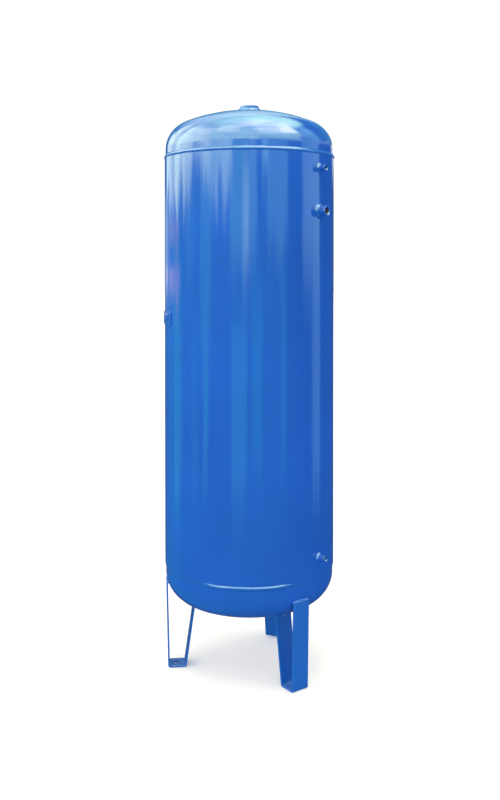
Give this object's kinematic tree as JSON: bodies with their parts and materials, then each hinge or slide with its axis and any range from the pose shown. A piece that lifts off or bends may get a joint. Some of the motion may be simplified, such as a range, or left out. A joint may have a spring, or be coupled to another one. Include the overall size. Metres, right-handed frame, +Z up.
{
  "type": "air receiver tank",
  "caption": "Upright cylindrical compressed-air receiver with dished heads, welded threaded sockets, a data plate and bent-strap legs.",
  "frame": {"origin": "on the tank's axis at floor level, under the middle of the three feet", "axes": "+Z up along the tank's axis; +X out of the column of threaded sockets; +Y completes a right-handed frame"},
  "size_m": [0.664, 0.6066, 1.982],
  "materials": {
    "blue_enamel": "gloss",
    "weld_enamel": "gloss over rippled weld",
    "socket_steel": "gloss outside, bare rusty thread inside",
    "plate_metal": "gloss, painted over with the tank",
    "screw_metal": "gloss, painted over with the tank"
  },
  "bodies": {
    "root": {"shell": "blue_enamel", "shell_seam_weld": "weld_enamel", "top_head": "blue_enamel", "bottom_head": "blue_enamel", "top_girth_weld": "weld_enamel", "bottom_girth_weld": "weld_enamel", "top_socket": "socket_steel", "top_socket_weld": "weld_enamel", "upper_gauge_socket": "socket_steel", "upper_gauge_socket_weld": "weld_enamel", "outlet_socket": "socket_steel", "outlet_socket_weld": "weld_enamel", "lower_gauge_socket": "socket_steel", "lower_gauge_socket_weld": "weld_enamel", "inlet_socket": "socket_steel", "inlet_socket_weld": "weld_enamel", "drain_socket": "socket_steel", "drain_socket_weld": "weld_enamel", "leg_1": "blue_enamel", "leg_1_outer_weld": "weld_enamel", "leg_1_inner_weld": "weld_enamel", "leg_2": "blue_enamel", "leg_2_outer_weld": "weld_enamel", "leg_2_inner_weld": "weld_enamel", "leg_3": "blue_enamel", "leg_3_outer_weld": "weld_enamel", "leg_3_inner_weld": "weld_enamel", "data_plate_bracket": "blue_enamel", "data_plate": "plate_metal", "data_plate_screw_1": "screw_metal", "data_plate_screw_2": "screw_metal", "data_plate_screw_3": "screw_metal", "data_plate_screw_4": "screw_metal"}
  },
  "joints": []
}
